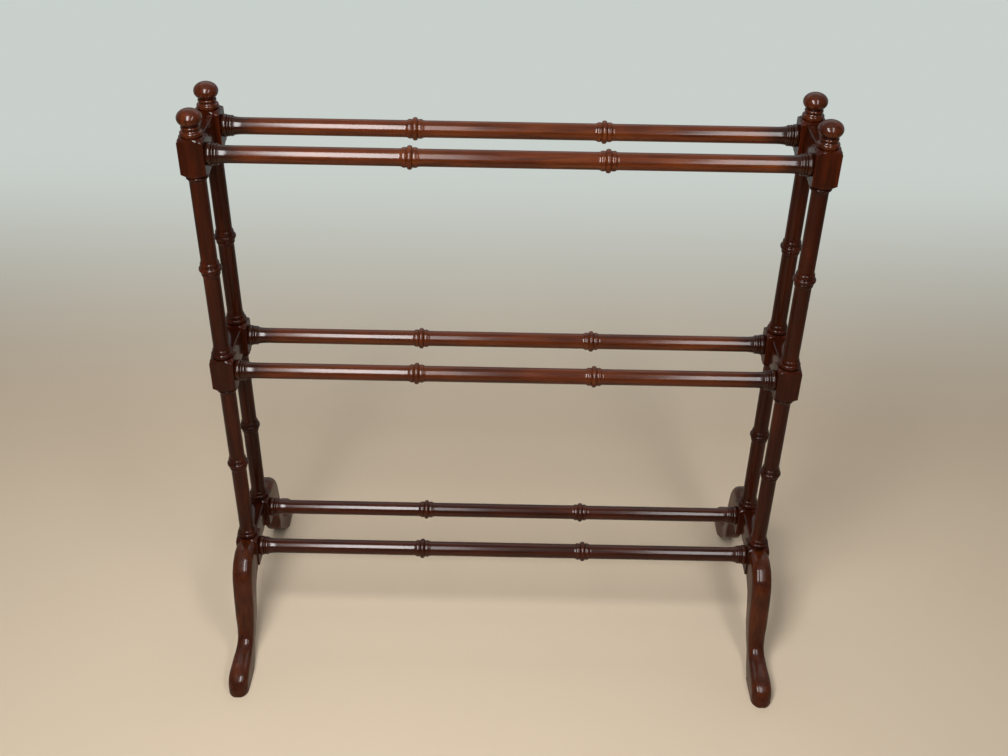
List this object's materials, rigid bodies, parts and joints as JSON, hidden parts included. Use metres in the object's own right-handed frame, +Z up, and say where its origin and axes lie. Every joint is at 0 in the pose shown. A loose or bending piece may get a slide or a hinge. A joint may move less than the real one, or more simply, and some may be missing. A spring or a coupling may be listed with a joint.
{
  "type": "quilt rack",
  "caption": "Free-standing quilt rack of turned, lacquered wood: two ladder-like end frames on curved feet, joined by paired rails with ring beads.",
  "frame": {"origin": "on the floor, under the middle of the rack", "axes": "+X runs along the rails from the left end frame to the right one as seen from the front, +Y runs from the front to the back, +Z is up"},
  "size_m": [0.806, 0.44, 0.843],
  "materials": {
    "lacquered_mahogany": "dark red-brown stain under glossy lacquer",
    "dowel_birch": "bare wood, hidden in the joints"
  },
  "bodies": {
    "root": {"post_front_left": "lacquered_mahogany", "finial_front_left": "lacquered_mahogany", "foot_front_left": "lacquered_mahogany", "post_back_left": "lacquered_mahogany", "finial_back_left": "lacquered_mahogany", "foot_back_left": "lacquered_mahogany", "post_front_right": "lacquered_mahogany", "finial_front_right": "lacquered_mahogany", "foot_front_right": "lacquered_mahogany", "post_back_right": "lacquered_mahogany", "finial_back_right": "lacquered_mahogany", "foot_back_right": "lacquered_mahogany", "cross_rail_left_lower": "lacquered_mahogany", "cross_rail_left_middle": "lacquered_mahogany", "cross_rail_left_top": "lacquered_mahogany", "cross_rail_right_lower": "lacquered_mahogany", "cross_rail_right_middle": "lacquered_mahogany", "cross_rail_right_top": "lacquered_mahogany", "rail_lower_front": "lacquered_mahogany", "rail_lower_back": "lacquered_mahogany", "rail_middle_front": "lacquered_mahogany", "rail_middle_back": "lacquered_mahogany", "rail_top_front": "lacquered_mahogany", "rail_top_back": "lacquered_mahogany", "foot_dowel_front_left_1": "dowel_birch", "foot_dowel_front_left_2": "dowel_birch", "foot_dowel_back_left_1": "dowel_birch", "foot_dowel_back_left_2": "dowel_birch", "foot_dowel_front_right_1": "dowel_birch", "foot_dowel_front_right_2": "dowel_birch", "foot_dowel_back_right_1": "dowel_birch", "foot_dowel_back_right_2": "dowel_birch", "cross_dowel_left_lower_front_1": "dowel_birch", "cross_dowel_left_lower_front_2": "dowel_birch", "cross_dowel_left_lower_back_1": "dowel_birch", "cross_dowel_left_lower_back_2": "dowel_birch", "cross_dowel_left_middle_front_1": "dowel_birch", "cross_dowel_left_middle_front_2": "dowel_birch", "cross_dowel_left_middle_back_1": "dowel_birch", "cross_dowel_left_middle_back_2": "dowel_birch", "cross_dowel_left_top_front_1": "dowel_birch", "cross_dowel_left_top_front_2": "dowel_birch", "cross_dowel_left_top_back_1": "dowel_birch", "cross_dowel_left_top_back_2": "dowel_birch", "cross_dowel_right_lower_front_1": "dowel_birch", "cross_dowel_right_lower_front_2": "dowel_birch", "cross_dowel_right_lower_back_1": "dowel_birch", "cross_dowel_right_lower_back_2": "dowel_birch", "cross_dowel_right_middle_front_1": "dowel_birch", "cross_dowel_right_middle_front_2": "dowel_birch", "cross_dowel_right_middle_back_1": "dowel_birch", "cross_dowel_right_middle_back_2": "dowel_birch", "cross_dowel_right_top_front_1": "dowel_birch", "cross_dowel_right_top_front_2": "dowel_birch", "cross_dowel_right_top_back_1": "dowel_birch", "cross_dowel_right_top_back_2": "dowel_birch"}
  },
  "joints": []
}
